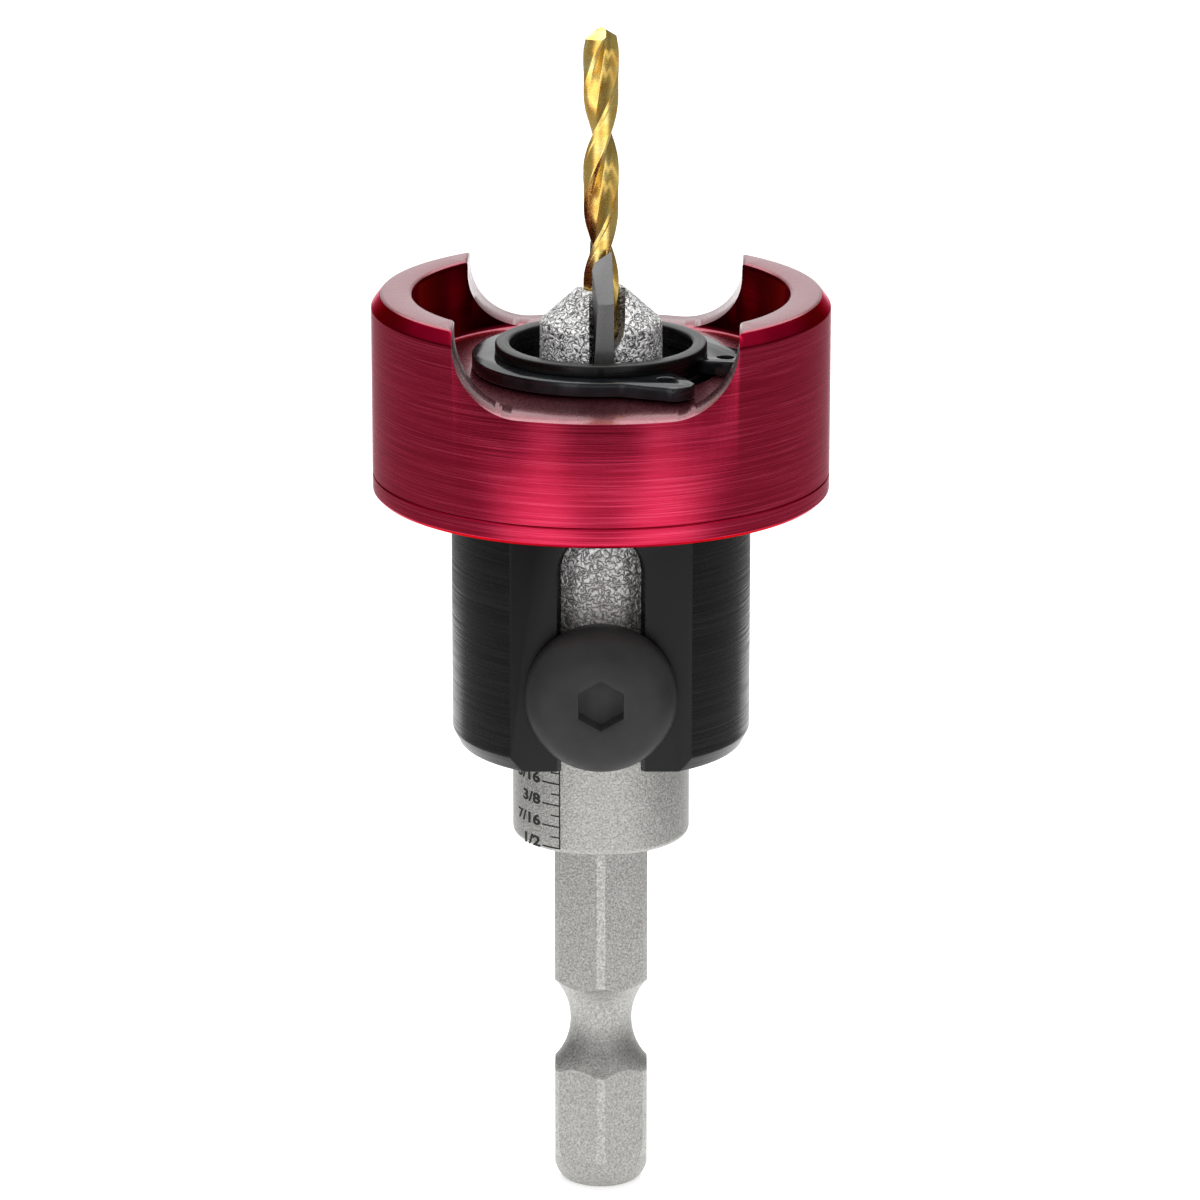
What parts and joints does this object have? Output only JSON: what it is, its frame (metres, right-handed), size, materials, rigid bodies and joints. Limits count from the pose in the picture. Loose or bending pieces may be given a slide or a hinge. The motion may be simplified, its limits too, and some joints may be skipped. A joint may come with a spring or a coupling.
{
  "type": "adjustable countersink bit",
  "caption": "Carbide-tipped countersink with a hex shank and a through drill, set by a clamped sleeve whose free-turning collar stops it at depth.",
  "frame": {"origin": "centre of the shank's flat end", "axes": "+Z along the drill, from the shank's end to the point; -Y is the side with the clamp screw and the scale"},
  "size_m": [0.0308, 0.0308, 0.081],
  "materials": {
    "blasted_steel": "bead-blasted, bright and coarse",
    "carbide": "ground, dull dark grey",
    "drill_coating": "polished gold titanium nitride",
    "black_oxide": "satin black oxide, fine turning lines",
    "black_oxide_screw": "satin black oxide",
    "black_spring_steel": "gloss black",
    "bearing_steel": "ground and polished",
    "bearing_shield": "pressed, satin dark",
    "cage_polymer": "moulded, matt",
    "red_anodised": "red anodised, brushed round its side"
  },
  "bodies": {
    "cutter": {"cutter_body": "blasted_steel", "carbide_blade_front": "carbide", "carbide_blade_rear": "carbide", "twist_drill": "drill_coating", "drill_grub_screw_lower": "black_oxide", "drill_grub_screw_upper": "black_oxide", "clamp_screw": "black_oxide_screw"},
    "sleeve": {"stop_sleeve": "black_oxide", "bearing_inner_race": "bearing_steel", "circlip": "black_spring_steel"},
    "cage": {"bearing_cage": "cage_polymer", "bearing_ball_01": "bearing_steel", "bearing_ball_02": "bearing_steel", "bearing_ball_03": "bearing_steel", "bearing_ball_04": "bearing_steel", "bearing_ball_05": "bearing_steel", "bearing_ball_06": "bearing_steel", "bearing_ball_07": "bearing_steel", "bearing_ball_08": "bearing_steel", "bearing_ball_09": "bearing_steel", "bearing_ball_10": "bearing_steel", "bearing_ball_11": "bearing_steel", "bearing_ball_12": "bearing_steel"},
    "collar": {"stop_collar": "red_anodised", "bearing_outer_race": "bearing_steel", "bearing_shield_lower": "bearing_shield", "bearing_shield_upper": "bearing_shield"}
  },
  "joints": [
    {"name": "depth_slide", "type": "slide", "parent": "cutter", "child": "sleeve", "axis": [0, 0, 1], "range_m": [-0.0087, 0.0063]},
    {"name": "collar_spin", "type": "hinge", "parent": "sleeve", "child": "collar", "pos_m": [0, 0, 0.05392], "axis": [0, 0, 1], "continuous": true},
    {"name": "cage_spin", "type": "hinge", "parent": "sleeve", "child": "cage", "pos_m": [0, 0, 0.05392], "axis": [0, 0, 1], "continuous": true}
  ],
  "couplings": [
    {"joint": "cage_spin", "follows": "collar_spin", "ratio": 0.5636}
  ]
}
